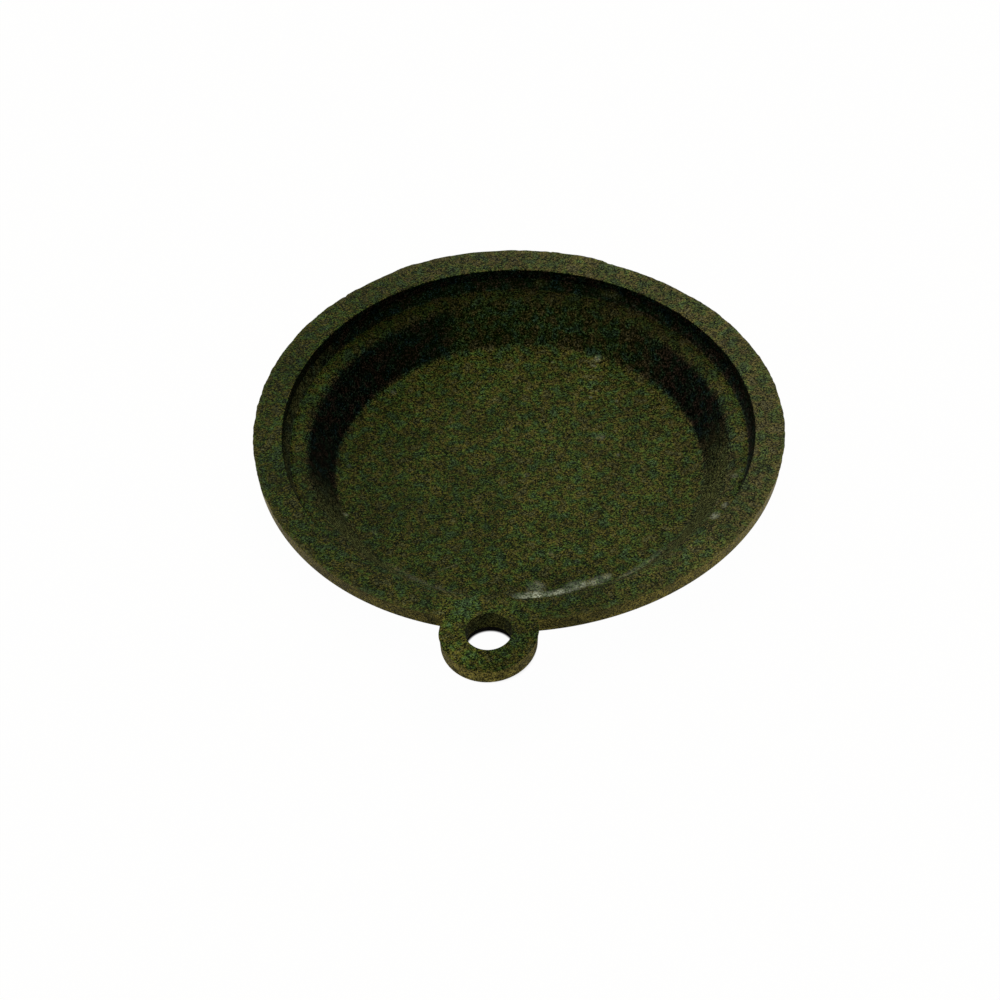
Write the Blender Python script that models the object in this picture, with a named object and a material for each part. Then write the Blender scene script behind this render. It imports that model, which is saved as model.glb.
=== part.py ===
"""Three-way valve diaphragm, moulded in one piece of rubber.

A round flange with a flat sealing ring carries a shallow dish, and a tab on the flange
has a hole that lets the pressure channel through. Metres, +Z up. The origin is the
centre of the floor's underside, on which the part rests with its open side up, and the
tab points along -Y.
"""

import math

import bmesh
import bpy
from mathutils import Matrix, Vector

MM = 0.001

# Flange: flat sealing ring on top, slightly drafted side, flat underside
RIM_RADIUS = 28.85 * MM
SEAL_RING_WIDTH = 3.07 * MM
FLANGE_THICKNESS = 2.0 * MM
SIDE_DRAFT = math.radians(3.0)
LOWER_ROUND = 0.25 * MM

# Feather of rubber that the mould leaves at its parting line, round the top edge
FLASH_WIDTH = 0.15 * MM
FLASH_THICKNESS = 0.12 * MM

# Step inside the sealing ring: an upright wall, then a slope down to the ledge
STEP_UPRIGHT = 1.25 * MM
STEP_SLOPE_HEIGHT = 1.05 * MM
STEP_SLOPE_WIDTH = 0.64 * MM

# Fine groove left round the foot of the step by the edge of the mould's insert
WITNESS_WIDTH = 0.22 * MM
WITNESS_DEPTH = 0.11 * MM

# Dish: ledge, rounded shoulder, leaning wall and flat floor, all of one thickness
MEMBRANE_THICKNESS = 1.0 * MM
LEDGE_WIDTH = 1.7 * MM
SHOULDER_ROUND = 2.3 * MM
DISH_DEPTH = 7.0 * MM
WALL_LEAN = math.radians(35.0)
FLOOR_ROUND = 1.5 * MM

# Small round where the membrane leaves the flange's underside
NECK_ROUND = 0.3 * MM

# Port tab: a disc as thick as the flange, with its centre just past the flange's edge
TAB_RADIUS = 5.12 * MM
TAB_OVERHANG = 1.45 * MM
PORT_RADIUS = 2.45 * MM
PORT_DRAFT = math.radians(1.0)

# Fineness of the turned surfaces, and how far a cutter runs past what it cuts
RIM_SEGMENTS = 96
TAB_SEGMENTS = 48
ARC_STEPS = 5
SMOOTH_ANGLE = math.radians(35.0)
CUTTER_MARGIN = 1.0 * MM

# Heights above the floor's underside
RIM_TOP = DISH_DEPTH + MEMBRANE_THICKNESS
FLANGE_BOTTOM = RIM_TOP - FLANGE_THICKNESS
LEDGE_TOP = RIM_TOP - STEP_UPRIGHT - STEP_SLOPE_HEIGHT
LEDGE_BOTTOM = LEDGE_TOP - MEMBRANE_THICKNESS
FLOOR_TOP = MEMBRANE_THICKNESS

# Radii of the upper side's corners, from the rim inwards
STEP_RADIUS = RIM_RADIUS - SEAL_RING_WIDTH
LEDGE_OUTER_RADIUS = STEP_RADIUS - STEP_SLOPE_WIDTH
WALL_TOP_RADIUS = LEDGE_OUTER_RADIUS - LEDGE_WIDTH
WALL_BOTTOM_RADIUS = WALL_TOP_RADIUS - (LEDGE_TOP - FLOOR_TOP) * math.tan(WALL_LEAN)

# Below the flange the underside runs one thickness away from the upper side, square to
# it, which moves each corner outwards by the thickness times the tangent of half the turn
SLOPE_LEAN = math.atan2(STEP_SLOPE_WIDTH, STEP_SLOPE_HEIGHT)
LEDGE_SHIFT = MEMBRANE_THICKNESS * math.tan((math.pi / 2 - SLOPE_LEAN) / 2)
WALL_SHIFT = MEMBRANE_THICKNESS * math.tan((math.pi / 2 - WALL_LEAN) / 2)


def clear_scene():
    """Removes whatever objects the open file holds."""
    for item in list(bpy.data.objects):
        bpy.data.objects.remove(item, do_unlink=True)


def rubber_material():
    """Near-black olive rubber with a dull surface."""
    material = bpy.data.materials.new("black_rubber")
    material.use_nodes = True
    shader = material.node_tree.nodes["Principled BSDF"]
    shader.inputs["Base Color"].default_value = (0.030, 0.031, 0.022, 1.0)
    shader.inputs["Roughness"].default_value = 0.62
    shader.inputs["Metallic"].default_value = 0.0
    return material


def rounded_outline(corners):
    """Turns (radius, height, round) corners into points, with an arc at each round."""
    points = []
    for index, (radius, height, round_radius) in enumerate(corners):
        corner = Vector((radius, height))
        if round_radius <= 0.0:
            points.append(corner)
            continue
        towards_last = (Vector(corners[index - 1][:2]) - corner).normalized()
        towards_next = (Vector(corners[index + 1][:2]) - corner).normalized()
        half_angle = towards_last.angle(towards_next) / 2
        bisector = (towards_last + towards_next).normalized()
        centre = corner + bisector * (round_radius / math.sin(half_angle))
        arm = corner + towards_last * (round_radius / math.tan(half_angle)) - centre
        turn = math.copysign(math.pi - 2 * half_angle, towards_next.cross(towards_last))
        for step in range(ARC_STEPS + 1):
            points.append(centre + Matrix.Rotation(turn * step / ARC_STEPS, 2) @ arm)
    return points


def turned_solid(name, outline, segments):
    """Spins an outline of (radius, height) points round the Z axis into a closed solid."""
    shape = bmesh.new()
    vertices = [shape.verts.new((point[0], 0.0, point[1])) for point in outline]
    edges = [shape.edges.new(pair) for pair in zip(vertices, vertices[1:])]
    bmesh.ops.spin(
        shape,
        geom=vertices + edges,
        cent=(0.0, 0.0, 0.0),
        axis=(0.0, 0.0, 1.0),
        angle=math.tau,
        steps=segments,
        use_merge=True,
    )
    bmesh.ops.remove_doubles(shape, verts=shape.verts, dist=0.0001 * MM)
    bmesh.ops.recalc_face_normals(shape, faces=shape.faces)
    mesh = bpy.data.meshes.new(name)
    shape.to_mesh(mesh)
    shape.free()
    mesh.shade_smooth()
    mesh.set_sharp_from_angle(angle=SMOOTH_ANGLE)
    solid = bpy.data.objects.new(name, mesh)
    bpy.context.collection.objects.link(solid)
    return solid


def drafted_side(top_radius):
    """Corners of an outer side of the flange: feather, drafted wall and lower edge."""
    foot_radius = top_radius - (FLANGE_THICKNESS - FLASH_THICKNESS) * math.tan(SIDE_DRAFT)
    return [
        (top_radius + FLASH_WIDTH, RIM_TOP, 0.0),
        (top_radius + FLASH_WIDTH, RIM_TOP - FLASH_THICKNESS, 0.0),
        (top_radius, RIM_TOP - FLASH_THICKNESS, 0.0),
        (foot_radius, FLANGE_BOTTOM, LOWER_ROUND),
    ]


def outer_form():
    """The turned outside of flange and dish, still filled to the sealing ring's level."""
    ledge_corner = LEDGE_OUTER_RADIUS + LEDGE_SHIFT
    neck_corner = ledge_corner + (FLANGE_BOTTOM - LEDGE_BOTTOM) * math.tan(SLOPE_LEAN)
    underside = [
        (neck_corner, FLANGE_BOTTOM, NECK_ROUND),
        (ledge_corner, LEDGE_BOTTOM, MEMBRANE_THICKNESS),
        (WALL_TOP_RADIUS + WALL_SHIFT, LEDGE_BOTTOM, SHOULDER_ROUND - MEMBRANE_THICKNESS),
        (WALL_BOTTOM_RADIUS + WALL_SHIFT, 0.0, FLOOR_ROUND + MEMBRANE_THICKNESS),
        (0.0, 0.0, 0.0),
    ]
    corners = [(0.0, RIM_TOP, 0.0)] + drafted_side(RIM_RADIUS) + underside
    return turned_solid("diaphragm", rounded_outline(corners), RIM_SEGMENTS)


def dish_core():
    """The mould core that forms the step, the witness groove, the ledge and the dish."""
    above = RIM_TOP + CUTTER_MARGIN
    corners = [
        (0.0, above, 0.0),
        (STEP_RADIUS, above, 0.0),
        (STEP_RADIUS, RIM_TOP - STEP_UPRIGHT, 0.0),
        (LEDGE_OUTER_RADIUS, LEDGE_TOP, 0.0),
        (LEDGE_OUTER_RADIUS - WITNESS_WIDTH / 2, LEDGE_TOP - WITNESS_DEPTH, 0.0),
        (LEDGE_OUTER_RADIUS - WITNESS_WIDTH, LEDGE_TOP, 0.0),
        (WALL_TOP_RADIUS, LEDGE_TOP, SHOULDER_ROUND),
        (WALL_BOTTOM_RADIUS, FLOOR_TOP, FLOOR_ROUND),
        (0.0, FLOOR_TOP, 0.0),
    ]
    return turned_solid("dish_core", rounded_outline(corners), RIM_SEGMENTS)


def tab_disc():
    """The round tab, with the same edge all round as the flange."""
    corners = [(0.0, RIM_TOP, 0.0)] + drafted_side(TAB_RADIUS)
    corners.append((0.0, FLANGE_BOTTOM, 0.0))
    disc = turned_solid("tab_disc", rounded_outline(corners), TAB_SEGMENTS)
    disc.location = (0.0, -(RIM_RADIUS + TAB_OVERHANG), 0.0)
    return disc


def port_pin():
    """The mould pin that leaves the port: a little narrower at its lower end."""
    upper = PORT_RADIUS + CUTTER_MARGIN * math.tan(PORT_DRAFT)
    lower = PORT_RADIUS - (FLANGE_THICKNESS + CUTTER_MARGIN) * math.tan(PORT_DRAFT)
    outline = [
        (0.0, RIM_TOP + CUTTER_MARGIN),
        (upper, RIM_TOP + CUTTER_MARGIN),
        (lower, FLANGE_BOTTOM - CUTTER_MARGIN),
        (0.0, FLANGE_BOTTOM - CUTTER_MARGIN),
    ]
    pin = turned_solid("port_pin", outline, TAB_SEGMENTS)
    pin.location = (0.0, -(RIM_RADIUS + TAB_OVERHANG), 0.0)
    return pin


def combine(target, tool, operation):
    """Joins or cuts the target with a tool body, which stays in the file as a guide."""
    step = target.modifiers.new(tool.name, "BOOLEAN")
    step.operation = operation
    step.solver = "EXACT"
    step.object = tool
    tool.hide_render = True
    tool.display_type = "WIRE"


def build_diaphragm():
    """Makes the one moulded piece: outside, tab, dish and port, in that order."""
    diaphragm = outer_form()
    combine(diaphragm, tab_disc(), "UNION")
    combine(diaphragm, dish_core(), "DIFFERENCE")
    combine(diaphragm, port_pin(), "DIFFERENCE")
    diaphragm.data.materials.append(rubber_material())
    return diaphragm


clear_scene()
build_diaphragm()
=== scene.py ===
# %% [markdown]
# # Three-way valve diaphragm
#
# The part is one moulding in soft black rubber: a round flange with a flat sealing ring,
# a shallow dish inside it, and a tab with a port for the pressure channel. The solid comes
# from the frame, in metres and with +Z up. This script gives it its looks: a finer skin in
# the same place, the olive-black finish with its mottling and talc, a white table, soft
# light and the camera. Each cell makes one thing and prints what it made.

import math

import bpy
from mathutils import Matrix, Vector, noise


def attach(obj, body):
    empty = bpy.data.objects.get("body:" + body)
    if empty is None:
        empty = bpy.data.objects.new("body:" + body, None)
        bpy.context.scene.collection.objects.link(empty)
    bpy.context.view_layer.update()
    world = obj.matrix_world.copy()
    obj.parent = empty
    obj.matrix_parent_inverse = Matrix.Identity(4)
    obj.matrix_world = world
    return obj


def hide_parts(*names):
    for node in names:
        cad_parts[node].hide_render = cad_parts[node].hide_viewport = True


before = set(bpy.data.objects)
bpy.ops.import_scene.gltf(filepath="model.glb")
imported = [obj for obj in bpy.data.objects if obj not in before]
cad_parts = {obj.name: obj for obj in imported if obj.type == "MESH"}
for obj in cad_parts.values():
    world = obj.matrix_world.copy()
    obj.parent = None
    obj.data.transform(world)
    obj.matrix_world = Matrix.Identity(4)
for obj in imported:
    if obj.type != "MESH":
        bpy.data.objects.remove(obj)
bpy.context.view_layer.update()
bpy.ops.object.select_all(action="DESELECT")

# %% [markdown]
# ## Sizes
#
# The skin has to lie where the solid lies, so its section uses the same sizes. They are
# read off the mould as a toolmaker would: radii from the axis and drops below the sealing
# ring. Whatever follows from them is worked out and not typed twice.

# %% Sizes of the section
MM = 0.001
RIM_TOP = 8.0 * MM
RIM_RADIUS = 28.85 * MM
FLANGE_THICKNESS = 2.0 * MM
SIDE_DRAFT = math.radians(3.0)
FLASH_WIDTH = 0.15 * MM
FLASH_THICKNESS = 0.12 * MM
STEP_RADIUS = 25.78 * MM
STEP_UPRIGHT = 1.25 * MM
LEDGE_DROP = 2.3 * MM
LEDGE_OUTER_RADIUS = 25.14 * MM
WITNESS_WIDTH = 0.22 * MM
WITNESS_DEPTH = 0.06 * MM
WALL_TOP_RADIUS = 23.44 * MM
WALL_LEAN = math.radians(35.0)
MEMBRANE_THICKNESS = 1.0 * MM
TAB_RADIUS = 5.12 * MM
TAB_CENTRE = Vector((0.0, -30.3 * MM, 0.0))
PORT_RADIUS = 2.45 * MM

LEDGE_TOP = RIM_TOP - LEDGE_DROP
LEDGE_BOTTOM = LEDGE_TOP - MEMBRANE_THICKNESS
FLANGE_BOTTOM = RIM_TOP - FLANGE_THICKNESS
FLOOR_TOP = MEMBRANE_THICKNESS
FLOOR_RADIUS = WALL_TOP_RADIUS - (LEDGE_TOP - FLOOR_TOP) * math.tan(WALL_LEAN)
SLOPE_LEAN = math.atan2(STEP_RADIUS - LEDGE_OUTER_RADIUS, LEDGE_DROP - STEP_UPRIGHT)
LEDGE_SHIFT = MEMBRANE_THICKNESS * math.tan((math.pi / 2 - SLOPE_LEAN) / 2)
WALL_SHIFT = MEMBRANE_THICKNESS * math.tan((math.pi / 2 - WALL_LEAN) / 2)
print("floor radius", round(FLOOR_RADIUS / MM, 2), "mm, ledge at", round(LEDGE_TOP / MM, 2), "mm")

# %% [markdown]
# ## Walking a loop along the section
#
# A round, stepped form like this can be lathed from a drawn profile, or grown from its
# floor: start with a disc, extrude its edge, and scale and lift the new loop to the next
# corner of the section. Growing it keeps the whole mesh in even rings of quads, which take
# bevels and small dents well, so that is the way here. The corners are walked sharp first
# and rounded afterwards with the bevel tool, each with its own radius.

# %% Helpers for loops
LOOP_TOLERANCE = 0.004 * MM


def walk_loop(stops):
    """Extrudes the selected loop from stop to stop, each a (radius, height) pair."""
    radius, height = stops[0]
    for next_radius, next_height in stops[1:]:
        bpy.ops.mesh.extrude_region_move()
        share = next_radius / radius
        bpy.ops.transform.resize(value=(share, share, 1.0), center_override=(0.0, 0.0, 0.0))
        bpy.ops.transform.translate(value=(0.0, 0.0, next_height - height))
        radius, height = next_radius, next_height


def select_loop(radius, height):
    """Selects the edge loop at one corner of the section, in edit mode."""
    bpy.ops.mesh.select_all(action="DESELECT")
    bpy.ops.object.mode_set(mode="OBJECT")
    vertices = bpy.context.object.data.vertices
    near = set()
    for vertex in vertices:
        off_radius = abs(math.hypot(vertex.co.x, vertex.co.y) - radius)
        if max(off_radius, abs(vertex.co.z - height)) < LOOP_TOLERANCE:
            near.add(vertex.index)
    for edge in bpy.context.object.data.edges:
        edge.select = edge.vertices[0] in near and edge.vertices[1] in near
    bpy.ops.object.mode_set(mode="EDIT")


def round_loop(radius, height, fillet, turn, segments):
    """Rounds one corner of the section with a fillet, given the angle it turns through."""
    select_loop(radius, height)
    bpy.ops.mesh.bevel(offset=fillet * math.tan(turn / 2), segments=segments, affect="EDGES")


# %% [markdown]
# ## Dish and flange
#
# The loop leaves the flat floor, climbs the leaning wall to the ledge, dips through the
# fine groove that the mould's insert left, and rises up the step to the sealing ring. It
# turns over the thin feather of flash at the parting line, comes down the flange's side
# and runs back underneath, one membrane thickness away, until it closes under the floor.
# The flat faces get a few loops more than they need, so that no quad grows too long.

# %% Grow the dish and flange
RIM_SEGMENTS = 720
FLANGE_FOOT_RADIUS = RIM_RADIUS - (FLANGE_THICKNESS - FLASH_THICKNESS) * math.tan(SIDE_DRAFT)
LEDGE_CORNER = LEDGE_OUTER_RADIUS + LEDGE_SHIFT
NECK_CORNER = LEDGE_CORNER + (FLANGE_BOTTOM - LEDGE_BOTTOM) * math.tan(SLOPE_LEAN)
WALL_FOOT = FLOOR_RADIUS + WALL_SHIFT
WALL_HEAD = WALL_TOP_RADIUS + WALL_SHIFT
FLOOR_START = 3.0 * MM
FLOOR_LOOPS = (8.0 * MM, 13.0 * MM, 17.0 * MM)
RING_LOOPS = (26.6 * MM, 27.7 * MM)
BASE_LOOPS = (14.0 * MM, 7.0 * MM)

upper_side = [
    (FLOOR_START, FLOOR_TOP),
    *((radius, FLOOR_TOP) for radius in FLOOR_LOOPS),
    (FLOOR_RADIUS, FLOOR_TOP),
    (WALL_TOP_RADIUS, LEDGE_TOP),
    (LEDGE_OUTER_RADIUS - WITNESS_WIDTH, LEDGE_TOP),
    (LEDGE_OUTER_RADIUS - WITNESS_WIDTH / 2, LEDGE_TOP - WITNESS_DEPTH),
    (LEDGE_OUTER_RADIUS, LEDGE_TOP),
    (STEP_RADIUS, RIM_TOP - STEP_UPRIGHT),
    (STEP_RADIUS, RIM_TOP),
    *((radius, RIM_TOP) for radius in RING_LOOPS),
    (RIM_RADIUS, RIM_TOP),
]
edge_and_side = [
    (RIM_RADIUS + FLASH_WIDTH, RIM_TOP),
    (RIM_RADIUS + FLASH_WIDTH, RIM_TOP - FLASH_THICKNESS),
    (RIM_RADIUS, RIM_TOP - FLASH_THICKNESS),
    (FLANGE_FOOT_RADIUS, FLANGE_BOTTOM),
]
underside = [
    (NECK_CORNER, FLANGE_BOTTOM),
    (LEDGE_CORNER, LEDGE_BOTTOM),
    (WALL_HEAD, LEDGE_BOTTOM),
    (WALL_FOOT, 0.0),
    *((radius, 0.0) for radius in BASE_LOOPS),
    (FLOOR_START, 0.0),
]
section = upper_side + edge_and_side + underside

bpy.ops.mesh.primitive_circle_add(
    vertices=RIM_SEGMENTS,
    radius=FLOOR_START,
    fill_type="TRIFAN",
    location=(0.0, 0.0, FLOOR_TOP),
)
diaphragm = bpy.context.object
diaphragm.name = "diaphragm_skin"
bpy.ops.object.transform_apply(location=True)
bpy.ops.object.mode_set(mode="EDIT")
bpy.ops.mesh.select_mode(type="EDGE")
bpy.ops.mesh.select_all(action="DESELECT")
bpy.ops.mesh.select_non_manifold()
walk_loop(section)
bpy.ops.mesh.extrude_region_move()
bpy.ops.mesh.merge(type="CENTER")
print("sharp section walked:", len(section), "loops")

# %% [markdown]
# ## Rounding the corners
#
# Moulded rubber has no sharp inner corners: the tool is rounded so that the membrane
# rolls instead of tearing. A bevel keeps a fillet's radius if its offset is the radius
# times the tangent of half the corner's turn, so each corner gets its turn as well. The
# last number of each is how many faces the round is made of: more for the larger ones.

# %% Round the corners
WALL_TURN = math.pi / 2 - WALL_LEAN
SLOPE_TURN = math.pi / 2 - SLOPE_LEAN
SHOULDER_ROUND = 2.3 * MM
FLOOR_ROUND = 1.5 * MM
NECK_ROUND = 0.3 * MM
LOWER_ROUND = 0.25 * MM
STEP_EDGE_ROUND = 0.12 * MM

round_loop(WALL_TOP_RADIUS, LEDGE_TOP, SHOULDER_ROUND, WALL_TURN, 8)
round_loop(FLOOR_RADIUS, FLOOR_TOP, FLOOR_ROUND, WALL_TURN, 7)
round_loop(STEP_RADIUS, RIM_TOP, STEP_EDGE_ROUND, math.pi / 2, 3)
round_loop(STEP_RADIUS, RIM_TOP - STEP_UPRIGHT, STEP_EDGE_ROUND, SLOPE_LEAN, 2)
round_loop(FLANGE_FOOT_RADIUS, FLANGE_BOTTOM, LOWER_ROUND, math.pi / 2, 4)
round_loop(NECK_CORNER, FLANGE_BOTTOM, NECK_ROUND, SLOPE_TURN, 3)
round_loop(LEDGE_CORNER, LEDGE_BOTTOM, MEMBRANE_THICKNESS, SLOPE_TURN, 5)
round_loop(WALL_HEAD, LEDGE_BOTTOM, SHOULDER_ROUND - MEMBRANE_THICKNESS, WALL_TURN, 6)
round_loop(WALL_FOOT, 0.0, FLOOR_ROUND + MEMBRANE_THICKNESS, WALL_TURN, 7)
bpy.ops.mesh.select_all(action="SELECT")
bpy.ops.mesh.normals_make_consistent(inside=False)
bpy.ops.object.mode_set(mode="OBJECT")
print("dish and flange:", len(diaphragm.data.polygons), "faces")

# %% [markdown]
# ## Tab and port
#
# The tab is a disc of the flange's thickness whose centre lies just past the flange's
# edge, with the same flash, side and lower round. It is grown in the same way round its
# own axis at the origin, moved out, and joined with a boolean.

# %% Grow the tab
TAB_SEGMENTS = 180
TAB_FOOT_RADIUS = TAB_RADIUS - (FLANGE_THICKNESS - FLASH_THICKNESS) * math.tan(SIDE_DRAFT)
TAB_START = 1.0 * MM
TAB_LOOPS = (3.4 * MM, 4.3 * MM)

tab_stops = [
    (TAB_START, RIM_TOP),
    *((radius, RIM_TOP) for radius in TAB_LOOPS),
    (TAB_RADIUS, RIM_TOP),
    (TAB_RADIUS + FLASH_WIDTH, RIM_TOP),
    (TAB_RADIUS + FLASH_WIDTH, RIM_TOP - FLASH_THICKNESS),
    (TAB_RADIUS, RIM_TOP - FLASH_THICKNESS),
    (TAB_FOOT_RADIUS, FLANGE_BOTTOM),
    (TAB_LOOPS[0], FLANGE_BOTTOM),
    (TAB_START, FLANGE_BOTTOM),
]
bpy.ops.object.select_all(action="DESELECT")
bpy.ops.mesh.primitive_circle_add(
    vertices=TAB_SEGMENTS,
    radius=TAB_START,
    fill_type="TRIFAN",
    location=(0.0, 0.0, RIM_TOP),
)
tab = bpy.context.object
tab.name = "tab"
bpy.ops.object.transform_apply(location=True)
bpy.ops.object.mode_set(mode="EDIT")
bpy.ops.mesh.select_mode(type="EDGE")
bpy.ops.mesh.select_all(action="DESELECT")
bpy.ops.mesh.select_non_manifold()
walk_loop(tab_stops)
bpy.ops.mesh.extrude_region_move()
bpy.ops.mesh.merge(type="CENTER")
round_loop(TAB_FOOT_RADIUS, FLANGE_BOTTOM, LOWER_ROUND, math.pi / 2, 4)
bpy.ops.mesh.select_all(action="SELECT")
bpy.ops.mesh.normals_make_consistent(inside=False)
bpy.ops.transform.translate(value=TAB_CENTRE)
bpy.ops.object.mode_set(mode="OBJECT")
print("tab:", len(tab.data.polygons), "faces")

# %% [markdown]
# In the mould the port is left by a pin that narrows by a degree, so that it draws out
# of the rubber. A cone a millimetre longer than the flange at either end cuts it here.

# %% Shape the port's cutter
PORT_DRAFT = math.radians(1.0)
PORT_MARGIN = 1.0 * MM

pin_foot = PORT_RADIUS - (FLANGE_THICKNESS + PORT_MARGIN) * math.tan(PORT_DRAFT)
pin_head = PORT_RADIUS + PORT_MARGIN * math.tan(PORT_DRAFT)
bpy.ops.object.select_all(action="DESELECT")
bpy.ops.mesh.primitive_cone_add(
    vertices=TAB_SEGMENTS,
    radius1=pin_foot,
    radius2=pin_head,
    depth=FLANGE_THICKNESS + 2 * PORT_MARGIN,
    location=TAB_CENTRE + Vector((0.0, 0.0, RIM_TOP - FLANGE_THICKNESS / 2)),
)
port_cutter = bpy.context.object
port_cutter.name = "port_cutter"
print("port pin", round(2 * pin_foot / MM, 2), "to", round(2 * pin_head / MM, 2), "mm across")

# %% [markdown]
# The tab goes on first and the port is cut last, through tab and flange together, because
# it reaches a little into the flange. The booleans leave a few points on top of each
# other where the tab's loops run into the flange's, so a weld follows.

# %% Join the tab and cut the port
WELD_DISTANCE = 0.001 * MM

for tool, operation in ((tab, "UNION"), (port_cutter, "DIFFERENCE")):
    cut = diaphragm.modifiers.new(tool.name, "BOOLEAN")
    cut.operation = operation
    cut.solver = "EXACT"
    cut.object = tool
    bpy.context.view_layer.objects.active = diaphragm
    bpy.ops.object.modifier_apply(modifier=cut.name)
    bpy.data.objects.remove(tool, do_unlink=True)
bpy.ops.object.mode_set(mode="EDIT")
bpy.ops.mesh.select_all(action="SELECT")
bpy.ops.mesh.remove_doubles(threshold=WELD_DISTANCE)
bpy.ops.object.mode_set(mode="OBJECT")
print("with tab and port:", len(diaphragm.data.polygons), "faces")

# %% [markdown]
# ## Ragged flash
#
# Flash is the feather of rubber that seeps into the mould's parting line. It is never
# even: here it is wide at the back, torn off over a stretch beside it, thin on the left
# and next to the tab, and nicked where a burr came away. The feather is a loop of its own,
# so its outermost vertices only have to move in or out, by a smooth noise and by a few
# stretches. Angles are in degrees, counted from +X towards +Y.

# %% Make the flash uneven
FLASH_RAGGEDNESS = 0.09 * MM
FLASH_RAG_PITCH = 1.6 * MM
FINE_RAG_SHARE = 0.6
FINE_RAG_RATIO = 3.7
FLASH_LEFT_OVER = 0.02 * MM

# First and last angle, width of the blend at each end, extra reach
FLASH_STRETCHES = (
    (76.0, 125.0, 1.5, 0.22 * MM),
    (52.0, 74.0, 1.5, -0.11 * MM),
    (160.0, 202.0, 9.0, -0.07 * MM),
    (258.0, 265.5, 1.5, -0.12 * MM),
    (274.5, 282.0, 1.5, -0.12 * MM),
)
# Angle, half the width, depth
FLASH_NICKS = (
    (74.8, 0.5, 0.16 * MM),
    (88.6, 0.6, 0.14 * MM),
    (138.5, 0.8, 0.15 * MM),
)


def ease(low, high, value):
    """Rises smoothly from 0 at low to 1 at high."""
    share = min(max((value - low) / (high - low), 0.0), 1.0)
    return share * share * (3.0 - 2.0 * share)


def flash_change(place, angle):
    """How much further out the feather reaches at one place on the rim."""
    coarse = noise.noise(place / FLASH_RAG_PITCH)
    fine = noise.noise(place / FLASH_RAG_PITCH * FINE_RAG_RATIO)
    change = FLASH_RAGGEDNESS * (coarse + FINE_RAG_SHARE * fine)
    for first, last, blend, extra in FLASH_STRETCHES:
        past_first = ease(first - blend, first + blend, angle)
        before_last = ease(last + blend, last - blend, angle)
        change += extra * past_first * before_last
    for middle, half_width, depth in FLASH_NICKS:
        change -= depth * max(0.0, 1.0 - abs(angle - middle) / half_width)
    return max(change, FLASH_LEFT_OVER - FLASH_WIDTH)


edges_with_flash = ((Vector((0.0, 0.0, 0.0)), RIM_RADIUS), (TAB_CENTRE, TAB_RADIUS))
moved = 0
for vertex in diaphragm.data.vertices:
    if vertex.co.z < RIM_TOP - FLASH_THICKNESS - LOOP_TOLERANCE:
        continue
    for centre, edge_radius in edges_with_flash:
        arm = Vector((vertex.co.x - centre.x, vertex.co.y - centre.y, 0.0))
        if abs(arm.length - edge_radius - FLASH_WIDTH) < LOOP_TOLERANCE:
            outwards = arm.normalized()
            angle = math.degrees(math.atan2(vertex.co.y, vertex.co.x)) % 360
            vertex.co += outwards * flash_change(centre + outwards * edge_radius, angle)
            moved += 1
            break
print("feather vertices moved:", moved)

# %% [markdown]
# ## The set of soft rubber
#
# No loose rubber moulding lies quite true. This one has taken a slight saddle: two
# opposite quarters of the rim stand a little high and the two between them a little low,
# while the dish's floor lies flat. The tab, which nothing backs, droops at its free end.
# A lattice could bend it, but both forms are short formulas, so each vertex is moved
# straight up or down in code.

# %% Bend the rim and the tab
SADDLE_RISE = 0.42 * MM
SADDLE_SETTLE = 0.20 * MM
SADDLE_TURN = math.radians(-42.0)
FLOOR_FLAT_RADIUS = 19.0 * MM
TAB_DROOP = 0.55 * MM
TAB_ROOT = 26.8 * MM
TAB_TIP = -TAB_CENTRE.y + TAB_RADIUS


def set_lift(place):
    """How far the set rubber stands above its moulded form at one place."""
    radius = math.hypot(place.x, place.y)
    angle = math.atan2(place.y, place.x) - SADDLE_TURN
    rise = SADDLE_RISE * math.cos(2 * angle) * min(radius / RIM_RADIUS, 1.0) ** 2
    droop = TAB_DROOP * (max(0.0, -place.y - TAB_ROOT) / (TAB_TIP - TAB_ROOT)) ** 2
    return ease(FLOOR_FLAT_RADIUS, STEP_RADIUS, radius) * (rise - SADDLE_SETTLE) - droop


for vertex in diaphragm.data.vertices:
    vertex.co.z += set_lift(vertex.co)
print("rim height from", round((RIM_TOP - SADDLE_SETTLE - SADDLE_RISE) / MM, 2),
      "to", round((RIM_TOP - SADDLE_SETTLE + SADDLE_RISE) / MM, 2), "mm")

# %% [markdown]
# ## Shading and place
#
# Faces that meet at a small angle are shaded as one curved surface, while the edges of
# the flash and the step stay crisp. The skin then rides on the one body and is shown in
# the solid's stead.

# %% Shade and place the skin
SMOOTH_ANGLE = math.radians(38.0)

bpy.ops.object.select_all(action="DESELECT")
diaphragm.select_set(True)
bpy.context.view_layer.objects.active = diaphragm
bpy.ops.object.shade_smooth_by_angle(angle=SMOOTH_ANGLE)
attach(diaphragm, "root")
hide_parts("diaphragm")
print("skin:", len(diaphragm.data.polygons), "faces")

# %% [markdown]
# ## Rubber
#
# Carbon-filled rubber swallows nearly all the light that enters it, so its base colour is
# close to black. What lifts it to a dark olive is a film of wax and dust that lies on it
# in specks. The film is partly real and partly painted light: it is laid thick on the
# faces that look up and on the back wall and thin on the other walls, so that these read
# as lit and as shaded. The film could be a second shader over the first, but it is mixed
# into the base colour, where every speck can have its own level and hue. The rubber's own
# reflection adds about a third of the light. Its index of refraction is low and its tint
# green, because a strong one would turn the far faces blue-grey.
#
# The coordinates are turned into millimetres first, so that every scale can be read as
# patches per millimetre and every place as a size on the part.

# %% Start the rubber material
RUBBER_IOR = 1.2
RUBBER_TINT = (0.20, 0.50, 0.0, 1.0)

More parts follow.
